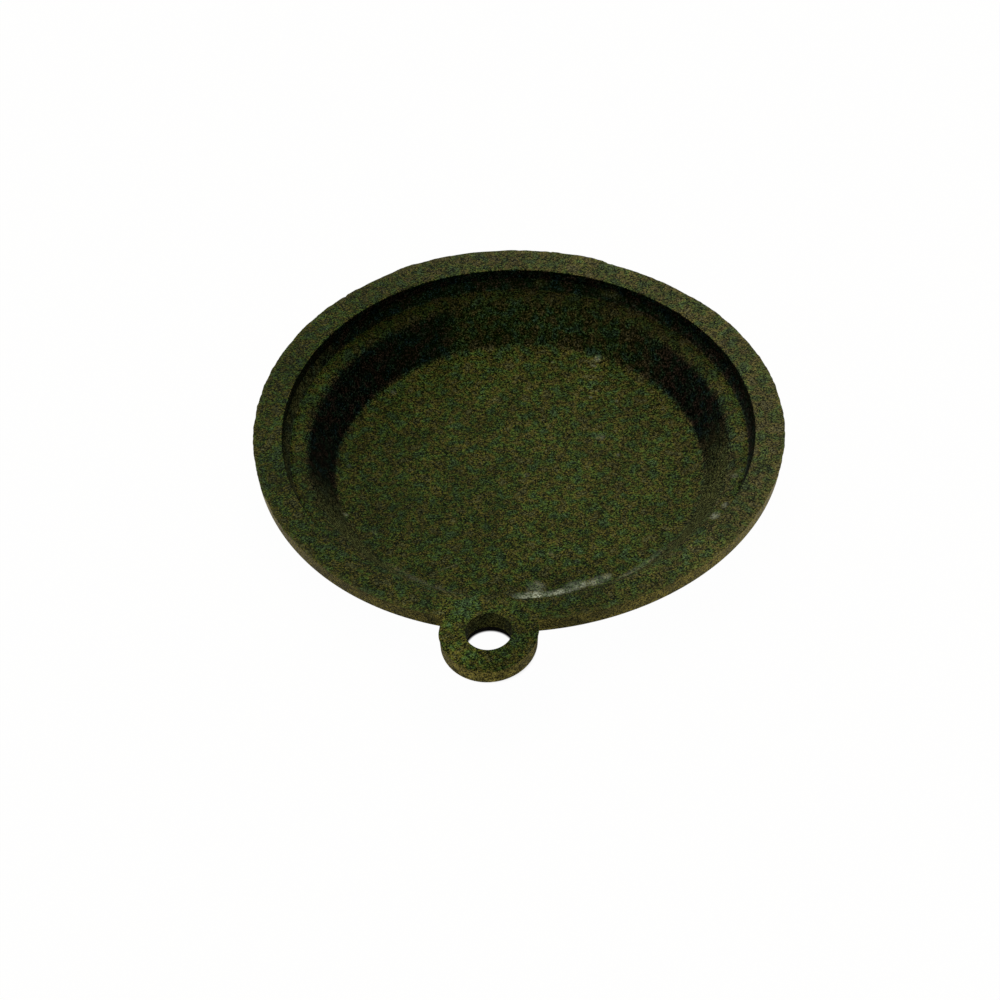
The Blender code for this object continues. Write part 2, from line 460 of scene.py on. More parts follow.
rubber = bpy.data.materials.new("black_rubber_skin")
rubber.use_nodes = True
nodes = rubber.node_tree.nodes
links = rubber.node_tree.links
skin_shader = nodes["Principled BSDF"]
skin_shader.inputs["IOR"].default_value = RUBBER_IOR
skin_shader.inputs["Specular Tint"].default_value = RUBBER_TINT
diaphragm.data.materials.clear()
diaphragm.data.materials.append(rubber)

object_place = nodes.new("ShaderNodeTexCoord")
in_millimetres = nodes.new("ShaderNodeVectorMath")
in_millimetres.operation = "SCALE"
in_millimetres.inputs["Scale"].default_value = 1.0 / MM
links.new(object_place.outputs["Object"], in_millimetres.inputs[0])
skin_place = in_millimetres.outputs["Vector"]
print("material:", rubber.name)

# %% [markdown]
# ### Short names for nodes
#
# The finish is built from a few kinds of node over and over: products, soft ranges,
# distances and colour mixes. A function for each keeps the steps below readable. They all
# work on the node tree that `nodes` and `links` stand for at the time.

# %% Helpers for sums and products
def feed(socket, source):
    """Gives a socket a link or a plain value."""
    if isinstance(source, bpy.types.NodeSocket):
        links.new(source, socket)
    else:
        socket.default_value = source


def calculate(operation, first, second=0.0, third=0.0, clamp=False):
    """Adds a Math node and returns its result."""
    node = nodes.new("ShaderNodeMath")
    node.operation = operation
    node.use_clamp = clamp
    for socket, source in zip(node.inputs, (first, second, third)):
        feed(socket, source)
    return node.outputs["Value"]


def product(first, *others):
    """Multiplies sockets and values."""
    for other in others:
        first = calculate("MULTIPLY", first, other)
    return first


def without(mask):
    """What a mask leaves over."""
    return calculate("SUBTRACT", 1.0, mask)


# %% [markdown]
# A soft range turns a size, such as a distance in millimetres, into a mask between 0 and 1
# or into a level between two others. It may also run downwards, from a high start to a low
# end. Distances and soft ranges together place every effect below.

# %% Helpers for ranges, distances and colours
# A Mix node has sockets for every kind of data, and these are the ones for colours
MIX_COLOUR_A = 6
MIX_COLOUR_B = 7
MIX_COLOUR_RESULT = 2


def remap(source, low, high, new_low, new_high):
    """Adds a smooth Map Range node and returns its result."""
    node = nodes.new("ShaderNodeMapRange")
    node.interpolation_type = "SMOOTHSTEP"
    for name, value in zip(("Value", "From Min", "From Max", "To Min", "To Max"),
                           (source, low, high, new_low, new_high)):
        feed(node.inputs[name], value)
    return node.outputs["Result"]


def distance(place, point):
    """Adds a Distance node and returns how far a place lies from a point."""
    node = nodes.new("ShaderNodeVectorMath")
    node.operation = "DISTANCE"
    links.new(place, node.inputs[0])
    node.inputs[1].default_value = point
    return node.outputs["Value"]


def blend_colour(kind, share, first, second):
    """Adds a colour Mix node and returns its result."""
    node = nodes.new("ShaderNodeMix")
    node.data_type = "RGBA"
    node.blend_type = kind
    feed(node.inputs["Factor"], share)
    feed(node.inputs[MIX_COLOUR_A], first)
    feed(node.inputs[MIX_COLOUR_B], second)
    return node.outputs[MIX_COLOUR_RESULT]


# %% [markdown]
# ### Mottling
#
# The skin is a fine grain of light and dark specks, tinted in patches of about a
# millimetre. A Voronoi texture gives every speck its own random colour, whose channels
# serve as random numbers, and two noises pick the hue and the level of an area. A random
# number raised to a power, times that power plus one, keeps its mean: a higher power gives
# fewer and brighter specks, but no more light.

# %% Draw the specks and the patches
SPECKS_PER_MM = 8.2

# Patches per millimetre, detail and roughness of each noise
FINE_GRAIN = (5.6, 1.0, 0.6)
HUE_PATCHES = (0.85, 3.0, 0.55)
BROAD_PATCHES = (0.22, 2.0, 0.6)


def speckle(per_millimetre, detail, roughness):
    """Adds a noise of the given fineness and returns its value."""
    node = nodes.new("ShaderNodeTexNoise")
    node.inputs["Scale"].default_value = per_millimetre
    node.inputs["Detail"].default_value = detail
    node.inputs["Roughness"].default_value = roughness
    links.new(skin_place, node.inputs["Vector"])
    return node.outputs["Fac"]


def speck_levels(power, gain):
    """Levels of the specks, few and strong where the power is high."""
    return product(calculate("POWER", speck_numbers.outputs["Red"], power), gain)


specks = nodes.new("ShaderNodeTexVoronoi")
specks.inputs["Scale"].default_value = SPECKS_PER_MM
links.new(skin_place, specks.inputs["Vector"])
speck_numbers = nodes.new("ShaderNodeSeparateColor")
links.new(specks.outputs["Color"], speck_numbers.inputs["Color"])
fine_grain = speckle(*FINE_GRAIN)
hue_patches = speckle(*HUE_PATCHES)
broad_patches = speckle(*BROAD_PATCHES)
print("specks", round(1 / SPECKS_PER_MM, 2), "mm across")

# %% [markdown]
# The film, the dust and the painted light and shade lie differently on each face. Which
# face a point is on follows from three things: whether it looks up, how far it is from the
# axis, and how far from the port. Painting the faces by hand would work too, but these
# places follow the form.

# %% Find where a point lies on the part
LOOKS_UP = (0.62, 0.97)

split_normal = nodes.new("ShaderNodeSeparateXYZ")
links.new(object_place.outputs["Normal"], split_normal.inputs["Vector"])
facing_up = remap(split_normal.outputs["Z"], *LOOKS_UP, 0.0, 1.0)
upright = without(facing_up)

split_place = nodes.new("ShaderNodeSeparateXYZ")
links.new(skin_place, split_place.inputs["Vector"])
place_x = split_place.outputs["X"]
place_y = split_place.outputs["Y"]
flat_place = nodes.new("ShaderNodeCombineXYZ")
links.new(place_x, flat_place.inputs["X"])
links.new(place_y, flat_place.inputs["Y"])
from_axis = distance(flat_place.outputs["Vector"], (0.0, 0.0, 0.0))
from_port = distance(flat_place.outputs["Vector"], TAB_CENTRE / MM)
print("port axis at", [round(side, 1) for side in TAB_CENTRE / MM], "mm")

# %% [markdown]
# The film lies on the faces that look up and on the back wall, and runs from green to
# brown. Its lit hues there are partly painted light, on the back wall because it faces
# the light. The other walls stay nearly black as painted shade, with few and colder
# specks, so they have a row of hues of their own. Both rows are picked from by the patches.
# In the masks here and below, each pair of numbers is where a mask starts and where it is
# full, in millimetres.

# %% Choose the hues
BACK_WALL_LEFT = (-11.5, -8.5)
BACK_WALL_RIGHT = (17.0, 9.0)
BACK_WALL_DEPTH = (5.0, 12.0)
BACK_WALL_TOP = (24.8, 24.0)
BACK_WALL_LIT_HUE = 0.6

LIT_FILM_ROW = (
    (0.36, (0.0215, 0.0370, 0.0130, 1.0)),
    (0.43, (0.0240, 0.0400, 0.0062, 1.0)),
    (0.50, (0.0300, 0.0362, 0.0054, 1.0)),
    (0.57, (0.0385, 0.0322, 0.0052, 1.0)),
    (0.64, (0.0322, 0.0330, 0.0110, 1.0)),
)
SHADED_WALL_ROW = (
    (0.38, (0.0110, 0.0230, 0.0240, 1.0)),
    (0.45, (0.0140, 0.0290, 0.0140, 1.0)),
    (0.52, (0.0200, 0.0210, 0.0150, 1.0)),
    (0.58, (0.0300, 0.0180, 0.0130, 1.0)),
)


def hue_row(stops):
    """Adds a colour ramp that turns the patches into hues."""
    node = nodes.new("ShaderNodeValToRGB")
    while len(node.color_ramp.elements) < len(stops):
        node.color_ramp.elements.new(1.0)
    for element, (position, colour) in zip(node.color_ramp.elements, stops):
        element.position = position
        element.color = colour
    links.new(hue_patches, node.inputs["Fac"])
    return node.outputs["Color"]


# Painted light: the back wall, which faces the light, takes part of the lit hues.
lit_back_wall = product(
    remap(place_x, *BACK_WALL_LEFT, 0.0, 1.0),
    remap(place_x, *BACK_WALL_RIGHT, 0.0, 1.0),
    remap(place_y, *BACK_WALL_DEPTH, 0.0, 1.0),
    remap(from_axis, *BACK_WALL_TOP, 0.0, 1.0),
)
# Lit hues on the faces that look up, shaded ones on the other walls: painted light and shade.
lit_and_filmed = calculate("MAXIMUM", facing_up, product(lit_back_wall, BACK_WALL_LIT_HUE))
skin_hues = blend_colour("MIX", lit_and_filmed, hue_row(SHADED_WALL_ROW), hue_row(LIT_FILM_ROW))
print("hues:", len(LIT_FILM_ROW), "for the film,", len(SHADED_WALL_ROW), "for the walls")

# %% [markdown]
# How much film there is changes slowly over the part: a little less in the dish than on
# the ring, most on the tab. Towards the left it is lower as painted shade, and at the back
# of the ledge, under the step, it is lower as painted shade too. The front of the dish has
# been wiped nearly clean. All of these are factors of one level.

# %% Set the level of the film
WALL_FILM_AND_SHADE = 0.24
BACK_WALL_PAINTED_LIGHT = 0.32
DISH_FILM = 0.94
DISH_RIM = (24.9, 25.9)
LEDGE_SHADE = 0.68
LEDGE_START = (20.2, 21.4)
LEDGE_END = (25.8, 25.2)
LEDGE_BACK = (6.0, 20.0)
CLEAN_FRONT = 0.42
FRONT_MIDDLE = 5.0
FRONT_ENDS = (9.0, 4.0)
FRONT_START = (-14.0, -20.0)
LEFT_SHADE = 0.68
LEFT_PART = (-20.0, 2.0)
TAB_FILM = 1.4
TAB_PART = (5.2, 7.0)
BROAD_RANGE = (0.30, 0.70)
BROAD_LEVELS = (0.80, 1.20)

# Painted shade: the walls keep only a small share of the film; the back wall gets more, as
# painted light.
painted_wall_level = calculate("MULTIPLY_ADD", lit_back_wall, BACK_WALL_PAINTED_LIGHT, WALL_FILM_AND_SHADE)
# Painted shade on the back of the ledge, in the recess under the step.
ledge_shade = product(
    remap(from_axis, *LEDGE_START, 0.0, LEDGE_SHADE),
    remap(from_axis, *LEDGE_END, 0.0, 1.0),
    remap(place_y, *LEDGE_BACK, 0.0, 1.0),
    facing_up,
)
off_front = calculate("ABSOLUTE", calculate("SUBTRACT", place_x, FRONT_MIDDLE))
clean_front = product(
    remap(off_front, *FRONT_ENDS, 0.0, CLEAN_FRONT),
    remap(place_y, *FRONT_START, 0.0, 1.0),
)
film_light_and_shade = product(
    remap(facing_up, 0.0, 1.0, painted_wall_level, 1.0),
    remap(from_axis, *DISH_RIM, DISH_FILM, 1.0),
    # Painted shade towards the left.
    remap(place_x, *LEFT_PART, LEFT_SHADE, 1.0),
    remap(from_port, *TAB_PART, TAB_FILM, 1.0),
    remap(broad_patches, *BROAD_RANGE, *BROAD_LEVELS),
    without(ledge_shade),
    without(clean_front),
)
print("film on the walls", WALL_FILM_AND_SHADE, "of that on the ring")

# %% [markdown]
# Hue, level and specks now come together in the base colour. Under the film the specks are
# even, and on the bare walls they are sparse. A colour ramp could set the levels of the
# specks as well, but a power needs two numbers only and keeps the mean in sight.

# %% Mottle the base colour
EVEN_SPECKS = (2.1, 3.1)
SPARSE_SPECKS = (4.0, 5.0)

speck_choice = nodes.new("ShaderNodeMix")
links.new(lit_and_filmed, speck_choice.inputs["Factor"])
links.new(speck_levels(*SPARSE_SPECKS), speck_choice.inputs["A"])
links.new(speck_levels(*EVEN_SPECKS), speck_choice.inputs["B"])
# The level brings in the painted light and shade of the film.
level = product(film_light_and_shade, speck_choice.outputs["Result"])
level_colour = nodes.new("ShaderNodeCombineColor")
for channel in ("Red", "Green", "Blue"):
    links.new(level, level_colour.inputs[channel])
mottled_light_and_shade = blend_colour("MULTIPLY", 1.0, skin_hues, level_colour.outputs["Color"])
print("specks of two kinds, powers", EVEN_SPECKS[0], "and", SPARSE_SPECKS[0])

# %% [markdown]
# ### Haze
#
# Handled rubber blooms: a thin pale film of wax and talc dries on it unevenly. It is
# strongest on the right and at the back of the flange, and weak in the dish. It could be
# a coat on the shader, but a coat shines, and this film is dull. So it is a pale colour
# laid over the base in a small share, and the mottling stays visible through it.

# %% Lay the haze
HAZE_COLOUR = (0.27, 0.20, 0.11, 1.0)
HAZE_SHARE = 0.058
HAZE_IN_DISH = 0.25
HAZE_RIGHTWARDS = 0.75
HAZE_BACKWARDS = 0.55
HAZE_RISE = (-13.0, 20.0)
PATCH_RANGE = (0.35, 0.65)
PATCH_LEVELS = (0.6, 1.4)
FILM_GRAIN = (1.4, 2.4)

patchy = product(remap(hue_patches, *PATCH_RANGE, *PATCH_LEVELS), speck_levels(*FILM_GRAIN))
towards_haze = calculate(
    "MULTIPLY_ADD", place_y, HAZE_BACKWARDS, product(place_x, HAZE_RIGHTWARDS)
)
haze = product(
    remap(towards_haze, *HAZE_RISE, 0.0, HAZE_SHARE),
    remap(from_axis, *DISH_RIM, HAZE_IN_DISH, 1.0),
    facing_up,
    patchy,
)
layered = blend_colour("MIX", haze, mottled_light_and_shade, HAZE_COLOUR)
print("haze over", round(100 * HAZE_SHARE, 1), "% at most")

# %% [markdown]
# The upright faces have a greener film of their own. It lies on the near half of the
# dish's wall, where fingers have wiped it off all but the highest grains, and faintly on
# the step's slope at the left. Sparse specks stand for what the wiping left. On the wall
# of the port the same colour is a painted reflection of the lit paper below it.

# %% Lay the wiped film and the port's painted reflection on the upright faces
WIPED_AND_REFLECTED_COLOUR = (0.27, 0.29, 0.08, 1.0)
WIPED_SHARE = 0.14
WIPED_LEAN = -0.275
WIPED_RISE = (2.5, -10.0)
WIPED_TOP = (25.2, 24.6)
WIPED_GRAIN = (3.0, 4.0)
PORT_REFLECTION_SHARE = 0.12
PORT_WALL = (2.7, 2.5)
LEFT_SLOPE_SHARE = 0.05
LEFT_SLOPE_PART = (-21.0, -25.0)
LEFT_SLOPE_FOOT = (24.9, 25.1)
LEFT_SLOPE_HEAD = (25.8, 25.7)

towards_tab = calculate("MULTIPLY_ADD", place_x, WIPED_LEAN, place_y)
wiped_and_reflected = product(
    remap(towards_tab, *WIPED_RISE, 0.0, WIPED_SHARE),
    remap(from_axis, *WIPED_TOP, 0.0, 1.0),
    upright,
    without(clean_front),
    speck_levels(*WIPED_GRAIN),
)
left_slope = product(
    remap(place_x, *LEFT_SLOPE_PART, 0.0, LEFT_SLOPE_SHARE),
    remap(from_axis, *LEFT_SLOPE_FOOT, 0.0, 1.0),
    remap(from_axis, *LEFT_SLOPE_HEAD, 0.0, 1.0),
)
# Painted reflection of the lit paper on the wall of the port.
port_reflection = remap(from_port, *PORT_WALL, 0.0, PORT_REFLECTION_SHARE)
port_reflection_and_slope_film = product(calculate("ADD", port_reflection, left_slope), upright)
wiped_and_reflected = calculate("MULTIPLY_ADD", port_reflection_and_slope_film, patchy, wiped_and_reflected)
layered = blend_colour("MIX", wiped_and_reflected, layered, WIPED_AND_REFLECTED_COLOUR)
print("wiped film over", round(100 * WIPED_SHARE, 1), "% at most")

# %% [markdown]
# ### Painted reflection on the outer side
#
# The flange's side is painted browner and lighter than the rest, most of all at the right
# and beside the tab, as a painted reflection of the white table. A little brown dust lies
# along the outer edge of the ring in the same colour. The side is found as what is far
# from the axis and doesn't look up, which would take in the port's wall, so the port is
# left out by its distance.

# %% Paint a reflection on the outer side and dust its edge
SHEEN_AND_DIRT_COLOUR = (0.30, 0.27, 0.07, 1.0)
SIDE_REFLECTION_SHARE = 0.22
SIDE_REFLECTION_RIGHT = 0.45
SIDE_REFLECTION_MORE = 0.12
TAB_REFLECTION_MORE = 0.17
EDGE_DUST_SHARE = 0.045
SIDE_START = (28.3, 28.7)
EDGE_START = (28.3, 28.9)
RIGHT_PART = (8.0, 25.0)
FAR_LEFT_PART = (-23.0, -28.0)
TAB_REFLECTION_PART = (6.5, 5.5)
CLEAR_OF_PORT = (3.0, 4.0)
CLEAR_OF_TAB = (5.0, 6.0)

# Painted reflection of the white table on the side, strongest at the right and beside the tab.
reflection_share = calculate(
    "ADD",
    remap(place_x, *RIGHT_PART, SIDE_REFLECTION_SHARE, SIDE_REFLECTION_RIGHT),
    remap(place_x, *FAR_LEFT_PART, 0.0, SIDE_REFLECTION_MORE),
)
reflection_share = calculate("ADD", reflection_share, remap(from_port, *TAB_REFLECTION_PART, 0.0, TAB_REFLECTION_MORE))
side_reflection_and_dust = product(
    remap(from_axis, *SIDE_START, 0.0, 1.0),
    remap(from_port, *CLEAR_OF_PORT, 0.0, 1.0),
    upright,
    reflection_share,
    patchy,
)
edge_dust = product(
    remap(from_axis, *EDGE_START, 0.0, EDGE_DUST_SHARE),
    remap(from_port, *CLEAR_OF_TAB, 0.0, 1.0),
    facing_up,
)
side_reflection_and_dust = calculate("ADD", side_reflection_and_dust, edge_dust)
layered = blend_colour("MIX", side_reflection_and_dust, layered, SHEEN_AND_DIRT_COLOUR)
print("side dust from", SIDE_REFLECTION_SHARE, "at the left to", SIDE_REFLECTION_RIGHT, "at the right")

# %% [markdown]
# ### Talc, and a painted highlight along the ring's edge
#
# Diaphragms are powdered with talc so that they don't stick together in the bag. Most of
# it has rubbed off. What is left has gathered in the corner of the dish's floor beside the
# tab, with a few crumbs elsewhere. The smear there, and the thin line either side of it,
# follow the rounded inner edge of the ring at the front and are partly a painted highlight
# of that edge. Each mark is a soft ellipsoid placed by its angle and radius on the part, so
# the dust stays on its own surface and doesn't show through to the underside. One group
# makes the ellipsoid, and each mark is a node of that group.

# %% Build the group for one mark
MARK_CORE = 0.25


def make_mark_group():
    """A group whose mask is 1 inside a turned ellipsoid and fades to 0 at its surface."""
    group = bpy.data.node_groups.new("soft_mark", "ShaderNodeTree")
    for name in ("Place", "Centre", "Turn", "Half Size"):
        group.interface.new_socket(name, in_out="INPUT", socket_type="NodeSocketVector")
    group.interface.new_socket("Mask", in_out="OUTPUT", socket_type="NodeSocketFloat")
    entry = group.nodes.new("NodeGroupInput")
    leave = group.nodes.new("NodeGroupOutput")
    local = group.nodes.new("ShaderNodeMapping")
    local.vector_type = "TEXTURE"
    for name, socket in (("Place", "Vector"), ("Centre", "Location"),
                         ("Turn", "Rotation"), ("Half Size", "Scale")):
        group.links.new(entry.outputs[name], local.inputs[socket])
    reach = group.nodes.new("ShaderNodeVectorMath")
    reach.operation = "LENGTH"
    group.links.new(local.outputs["Vector"], reach.inputs[0])
    fade = group.nodes.new("ShaderNodeMapRange")
    fade.interpolation_type = "SMOOTHSTEP"
    fade.inputs["From Min"].default_value = MARK_CORE
    fade.inputs["From Max"].default_value = 1.0
    fade.inputs["To Min"].default_value = 1.0
    fade.inputs["To Max"].default_value = 0.0
    group.links.new(reach.outputs["Value"], fade.inputs["Value"])
    group.links.new(fade.outputs["Result"], leave.inputs["Mask"])
    return group


mark_group = make_mark_group()
print("group:", mark_group.name)

# %% [markdown]
# A mark is placed as one would point at it on the part: by its angle round the axis and
# its distance from it. Its length runs along the rim, unless it is twisted. Marks that
# overlap add up, which gives the smear its uneven strength.

# %% Place a mark
MARK_HEIGHT = 0.7


def soft_mark(angle, radius, height, half_length, half_width, twist=0.0):
    """The mask of one mark, its length along the rim or twisted from it; degrees and mm."""
    node = nodes.new("ShaderNodeGroup")
    node.node_tree = mark_group
    turn = math.radians(angle)
    links.new(skin_place, node.inputs["Place"])
    node.inputs["Centre"].default_value = (
        radius * math.cos(turn), radius * math.sin(turn), height
    )
    node.inputs["Turn"].default_value = (0.0, 0.0, turn + math.pi / 2 + math.radians(twist))
    node.inputs["Half Size"].default_value = (half_length, half_width, MARK_HEIGHT)
    return node.outputs["Mask"]


def gather(marks, height, total):
    """Adds up the masks of marks at one height, each times its own strength."""
    for angle, radius, half_length, half_width, strength in marks:
        mask = soft_mark(angle, radius, height, half_length, half_width)
        total = calculate("MULTIPLY_ADD", mask, strength, total)
    return total


# %% [markdown]
# The marks are listed one by one, from the smear beside the tab to single crumbs on the
# floor and the ledge. Two brown ones lighten the step's slope at the back, and the one at 90
# degrees is a painted highlight on that slope. They take the colour of the side's painted
# reflection. A long thin mark, twisted from the rim, is a scratch.

# %% Dust the talc
FLOOR_LEVEL = 1.0
LEDGE_LEVEL = 5.6
STEP_LEVEL = 6.2
SCRATCH_SHARE = 0.03

# The first six floor marks make the smear, which is partly a painted highlight of the ring's
# inner edge.
# Angle in degrees; radius, half the length and half the width in millimetres; strength
floor_marks = (
    (279.2, 19.1, 3.1, 0.95, 0.19),
    (283.5, 19.0, 1.8, 0.70, 0.12),
    (281.5, 17.8, 1.3, 1.3, 0.09),
    (289.0, 18.9, 2.0, 0.6, 0.22),
    (295.0, 18.5, 1.9, 0.9, 0.19),
    (303.0, 18.8, 1.9, 0.8, 0.15),
    (36.1, 10.4, 0.75, 0.8, 0.05),
    (18.0, 11.1, 0.45, 0.4, 0.035),
    (299.8, 15.2, 0.6, 0.4, 0.045),
    (290.4, 13.1, 0.6, 0.4, 0.03),
    (320.0, 1.0, 0.6, 0.45, 0.035),
    (69.4, 20.2, 0.6, 0.7, 0.10),
    (69.1, 18.9, 0.55, 0.28, 0.05),
    (73.9, 18.2, 0.3, 0.28, 0.03),
    (61.3, 14.2, 0.3, 0.3, 0.09),
    (51.2, 15.5, 0.35, 0.3, 0.06),
    (83.6, 18.0, 0.35, 0.25, 0.05),
    (143.3, 19.3, 0.5, 0.6, 0.03),
    (182.2, 18.9, 0.4, 0.35, 0.07),
    (204.8, 20.1, 0.45, 0.5, 0.09),
    (215.9, 18.2, 0.8, 0.4, 0.03),
)
ledge_marks = (
    (336.3, 24.1, 0.95, 0.7, 0.13),
    (340.6, 24.4, 0.7, 0.5, 0.07),
    (352.0, 24.1, 0.6, 0.6, 0.06),
    (354.1, 24.7, 0.45, 0.4, 0.06),
)
# The first is a painted highlight on the step's slope at the back.
brown_marks = (
    (90.3, 25.5, 1.1, 0.5, 0.05),
    (71.5, 25.4, 1.9, 0.7, 0.10),
)
dust_and_sheen = gather(floor_marks, FLOOR_LEVEL, 0.0)
dust_and_sheen = gather(ledge_marks, LEDGE_LEVEL, dust_and_sheen)
scratch = soft_mark(248.2, 16.4, FLOOR_LEVEL, 2.6, 0.16, twist=54.0)
dust_and_sheen = calculate("MULTIPLY_ADD", scratch, SCRATCH_SHARE, dust_and_sheen)
brown = product(gather(brown_marks, STEP_LEVEL, 0.0), patchy)
layered = blend_colour("MIX", brown, layered, SHEEN_AND_DIRT_COLOUR)
print("talc marks:", len(floor_marks) + len(ledge_marks), "and brown ones:", len(brown_marks))

# %% [markdown]
# A thin line runs in the corner of the floor, either side of the smear: partly talc, and
# partly a painted highlight of the ring's rounded inner edge. A narrow band round the axis,
# cut to length by two long marks, gives that line. All the talc and the painted highlight
# are then broken up by the grain and the patches, and laid over the rest.

# %% Draw the thin line of talc and painted highlight
TALC_AND_HIGHLIGHT_COLOUR = (0.62, 0.66, 0.47, 1.0)
CORNER_RADIUS = 19.75
CORNER_BAND = (0.55, 0.1)
LINE_SHARE = 0.06
LEFT_LINE_SHARE = 0.45
MARK_GRAIN = (0.36, 0.64, 0.25, 1.8)
MARK_PATCHES = (0.34, 0.60, 0.35, 1.35)

# Painted highlight of the ring's rounded inner edge, mixed with talc, drawn as a thin line.
off_corner = calculate("ABSOLUTE", calculate("SUBTRACT", from_axis, CORNER_RADIUS))
reach_right = soft_mark(317.0, CORNER_RADIUS, FLOOR_LEVEL, 5.5, 1.5)
reach_left = soft_mark(246.0, CORNER_RADIUS, FLOOR_LEVEL, 9.0, 1.5)
reach = calculate("MULTIPLY_ADD", reach_left, LEFT_LINE_SHARE, reach_right)
line = product(remap(off_corner, *CORNER_BAND, 0.0, 1.0), reach)
dust_and_sheen = calculate("MULTIPLY_ADD", line, LINE_SHARE, dust_and_sheen)
broken_up = product(remap(fine_grain, *MARK_GRAIN), remap(hue_patches, *MARK_PATCHES))
dust_and_sheen = calculate("MULTIPLY", dust_and_sheen, broken_up, clamp=True)
finished_colour = blend_colour("MIX", dust_and_sheen, layered, TALC_AND_HIGHLIGHT_COLOUR)
links.new(finished_colour, skin_shader.inputs["Base Color"])
print("line of dust at radius", CORNER_RADIUS, "mm")

# %% [markdown]
# ### Sheen and grain
#
# The reflection is soft but not dull all over: the rubber is a little glossier where it
# has been rubbed and flatter where dust lies. The grain of the mould is a bump, because
# it is far too fine for the mesh.

# %% Roughness and bump
RUBBED_RANGE = (0.32, 0.68)
RUBBED_ROUGHNESS = (0.16, 0.28)
MARK_ROUGHNESS = 1.2
GRAIN_DEPTH = 0.11 * MM

rubbed = remap(hue_patches, *RUBBED_RANGE, *RUBBED_ROUGHNESS)
roughness = calculate("MULTIPLY_ADD", dust_and_sheen, MARK_ROUGHNESS, rubbed, clamp=True)
links.new(roughness, skin_shader.inputs["Roughness"])
bump = nodes.new("ShaderNodeBump")
bump.inputs["Strength"].default_value = 1.0
bump.inputs["Distance"].default_value = GRAIN_DEPTH
links.new(fine_grain, bump.inputs["Height"])
links.new(bump.outputs["Normal"], skin_shader.inputs["Normal"])
print("grain depth", round(GRAIN_DEPTH / MM, 3), "mm")

# %% [markdown]
# ## Table
#
# The part lies on white paper. Paper lit like the part would come out grey, so the camera
# sees it glow at the level of white, while to all other light it stays plain paper. A
# curved backdrop would do as well, but the camera looks down and sees only the table.

# %% White table
TABLE_SIZE = 4.0
TABLE_GAP = 0.01 * MM
PAPER_ROUGHNESS = 0.9

bpy.ops.object.select_all(action="DESELECT")
bpy.ops.mesh.primitive_plane_add(size=TABLE_SIZE, location=(0.0, 0.0, -TABLE_GAP))
table = bpy.context.object
table.name = "table"
bpy.ops.object.transform_apply(location=True)

paper = bpy.data.materials.new("white_table")
paper.use_nodes = True
table.data.materials.append(paper)
nodes = paper.node_tree.nodes
links = paper.node_tree.links
paper_shader = nodes["Principled BSDF"]
paper_shader.inputs["Roughness"].default_value = PAPER_ROUGHNESS
print("table", TABLE_SIZE, "m wide,", round(TABLE_GAP / MM, 2), "mm below the floor")

# %% [markdown]
# The paper is dark beneath the dish, where no light gets in, and in a ring under the tab:
# through the port the photo shows a dark crescent of shadow and, below it, the lit paper.
# A lamp with a hard edge could cast such a shadow, but it would also mark the part. A soft
# disc and a ring, both drawn by their distance from a point, leave the part alone.

# %% Shade the table
SHADE_CENTRE = Vector((0.0, 1.5, 0.0)) * MM
SHADE_EDGE = (17.5 * MM, 23.4 * MM)
PORT_LIGHT_CENTRE = Vector((-0.55, -25.75, 0.0)) * MM
PORT_LIGHT_EDGE = (2.35 * MM, 2.65 * MM)
PORT_SHADE_EDGE = (5.05 * MM, 3.55 * MM)
TAB_SHADE_EDGE = (12.0 * MM, 6.0 * MM)
TAB_SHADE_SHARE = 0.65
PAPER_COLOUR = (0.66, 0.57, 0.36, 1.0)
SHADE_COLOUR = (0.012, 0.009, 0.006, 1.0)

table_place = nodes.new("ShaderNodeTexCoord").outputs["Object"]
lit = remap(distance(table_place, SHADE_CENTRE), *SHADE_EDGE, 0.0, 1.0)
from_light = distance(table_place, PORT_LIGHT_CENTRE)
tab_ring = product(
    remap(from_light, *PORT_LIGHT_EDGE, 0.0, 1.0),
    remap(from_light, *PORT_SHADE_EDGE, 0.0, 1.0),
)
tab_shade = remap(distance(table_place, TAB_CENTRE), *TAB_SHADE_EDGE, 0.0, TAB_SHADE_SHARE)
paper_colour = blend_colour("MIX", lit, SHADE_COLOUR, PAPER_COLOUR)
paper_colour = blend_colour("MIX", tab_shade, paper_colour, SHADE_COLOUR)
paper_colour = blend_colour("MIX", tab_ring, paper_colour, SHADE_COLOUR)
links.new(paper_colour, paper_shader.inputs["Base Color"])
print("shade under the dish out to", round(SHADE_EDGE[1] / MM, 1), "mm")

# %% [markdown]
# The glow is an emission that only some rays see: those from the camera or through glass
# see all of it, and reflections a small part, because in the photo the near-black side
# mirrors hardly any paper.

# %% Make the paper glow
WHITE_SHARE = 0.985
GLOSSY_SHARE = 0.05

rays = nodes.new("ShaderNodeLightPath").outputs
seen = calculate("ADD", rays["Is Camera Ray"], rays["Is Transmission Ray"])
seen = calculate("MULTIPLY_ADD", rays["Is Glossy Ray"], GLOSSY_SHARE, seen, clamp=True)
glow = nodes.new("ShaderNodeEmission")
glow.inputs["Strength"].default_value = 1.0
blend = nodes.new("ShaderNodeMixShader")
links.new(product(seen, lit, WHITE_SHARE, without(tab_ring)), blend.inputs["Fac"])
links.new(paper_shader.outputs["BSDF"], blend.inputs[1])
links.new(glow.outputs["Emission"], blend.inputs[2])
links.new(blend.outputs["Shader"], nodes["Material Output"].inputs["Surface"])
print("glow seen by the camera:", WHITE_SHARE)

# %% [markdown]
# ## Room
#
# The olive faces get their level and their sheen from the room. An even white room would
# flatten the dish, so this one is dimmer at its sides, bright behind the part, as a window
# would be, and bright again either side of the camera. The levels are blended from the
# direction alone, which runs from -1 to 1 along each axis. To the camera the room is white.

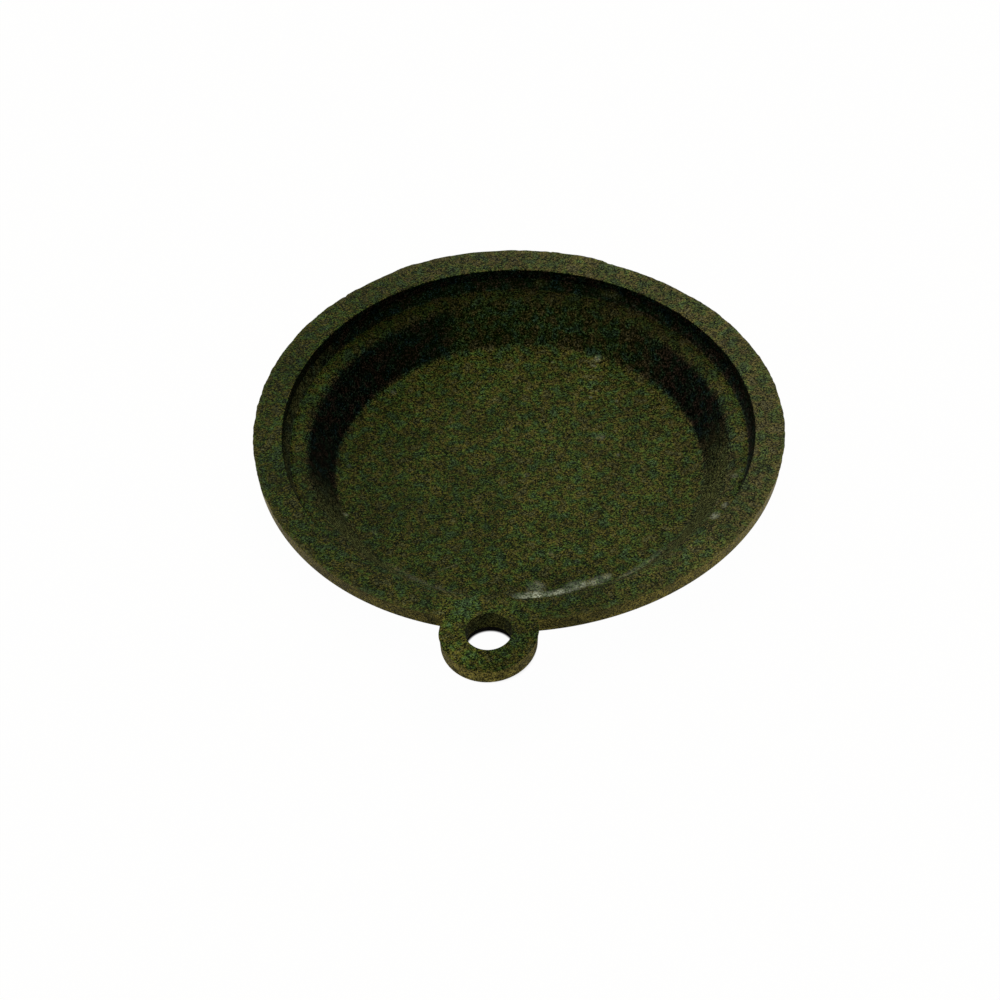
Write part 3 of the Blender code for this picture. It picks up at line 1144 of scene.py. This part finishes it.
# %% World
ROOM_MIDDLE = 0.1
ROOM_SIDES = (0.45, 0.95)
ROOM_LEVELS = (0.26, 0.03)
WINDOW_BEHIND = (0.34, 0.74)
WINDOW_LEVEL = 0.74
WINDOW_LEAN = -0.25
WINDOW_FOOT = (0.10, 0.50)
FRONT_PART = (-0.30, -0.60)
BESIDE_CAMERA = (0.10, 0.36)
FRONT_LEVELS = (-0.12, 0.66)

world = bpy.data.worlds.new("white_room")
bpy.context.scene.world = world
world.use_nodes = True
nodes = world.node_tree.nodes
links = world.node_tree.links
background = nodes["Background"]
background.inputs["Color"].default_value = (1.0, 1.0, 1.0, 1.0)
direction = nodes.new("ShaderNodeSeparateXYZ")
links.new(nodes.new("ShaderNodeTexCoord").outputs["Generated"], direction.inputs["Vector"])
aside, behind, above = direction.outputs

from_middle = calculate("ABSOLUTE", calculate("ADD", aside, ROOM_MIDDLE))
room = remap(from_middle, *ROOM_SIDES, *ROOM_LEVELS)
above_foot = calculate("MULTIPLY_ADD", aside, WINDOW_LEAN, above)
window = product(
    remap(behind, *WINDOW_BEHIND, 0.0, WINDOW_LEVEL),
    remap(above_foot, *WINDOW_FOOT, 0.0, 1.0),
)
front = product(
    remap(behind, *FRONT_PART, 0.0, 1.0),
    remap(from_middle, *BESIDE_CAMERA, *FRONT_LEVELS),
)
room_light = calculate("ADD", calculate("ADD", room, window), front)
is_camera_ray = nodes.new("ShaderNodeLightPath").outputs["Is Camera Ray"]
strength = calculate("MAXIMUM", is_camera_ray, room_light)
links.new(strength, background.inputs["Strength"])
print("room level", ROOM_LEVELS[0], "and window", WINDOW_LEVEL)

# %% [markdown]
# ## Lamp
#
# A wide lamp above the part gives the flat faces more light than the walls, and a soft
# shadow below the flange. It is kept out of the reflections, which the window already
# gives.

# %% Overhead lamp
LAMP_SIZE = 0.7
LAMP_PLACE = (0.0, 0.1, 0.8)
LAMP_POWER = 5.4

bpy.ops.object.light_add(type="AREA", location=LAMP_PLACE)
lamp = bpy.context.object
lamp.name = "overhead_lamp"
lamp.data.size = LAMP_SIZE
lamp.data.energy = LAMP_POWER
lamp.visible_glossy = False
lamp.visible_camera = False
print("lamp", LAMP_POWER, "W")

# %% [markdown]
# ## Camera
#
# The camera is a long lens 38 cm away that looks down at 44 degrees, a little from the
# right and turned by two degrees. Its direction follows from how flat the round rim looks
# in the photo, and its distance from how much larger the near side looks than the far one.

# %% Camera
CAMERA_AZIMUTH = math.radians(6.85)
CAMERA_ELEVATION = math.radians(43.86)
CAMERA_DISTANCE = 377.0 * MM
CAMERA_ROLL = math.radians(-1.868)
CAMERA_LENS = 124.5
SENSOR_WIDTH = 36.0
CLIP_START = 0.01
AIM_POINT = Vector((-0.788, -11.576, 8.0)) * MM

outward = Vector((
    math.sin(CAMERA_AZIMUTH) * math.cos(CAMERA_ELEVATION),
    -math.cos(CAMERA_AZIMUTH) * math.cos(CAMERA_ELEVATION),
    math.sin(CAMERA_ELEVATION),
))
bpy.ops.object.camera_add()
camera = bpy.context.object
camera.name = "photo_camera"
camera.data.lens = CAMERA_LENS
camera.data.sensor_width = SENSOR_WIDTH
camera.data.clip_start = CLIP_START
camera.location = Vector((0.0, 0.0, RIM_TOP)) + outward * CAMERA_DISTANCE
look = (AIM_POINT - camera.location).to_track_quat("-Z", "Y").to_matrix().to_4x4()
roll = Matrix.Rotation(CAMERA_ROLL, 4, "Z")
camera.matrix_world = Matrix.Translation(camera.location) @ look @ roll
bpy.context.scene.camera = camera
bpy.context.scene.view_settings.view_transform = "Standard"
print("camera at", [round(side / MM) for side in camera.location], "mm")
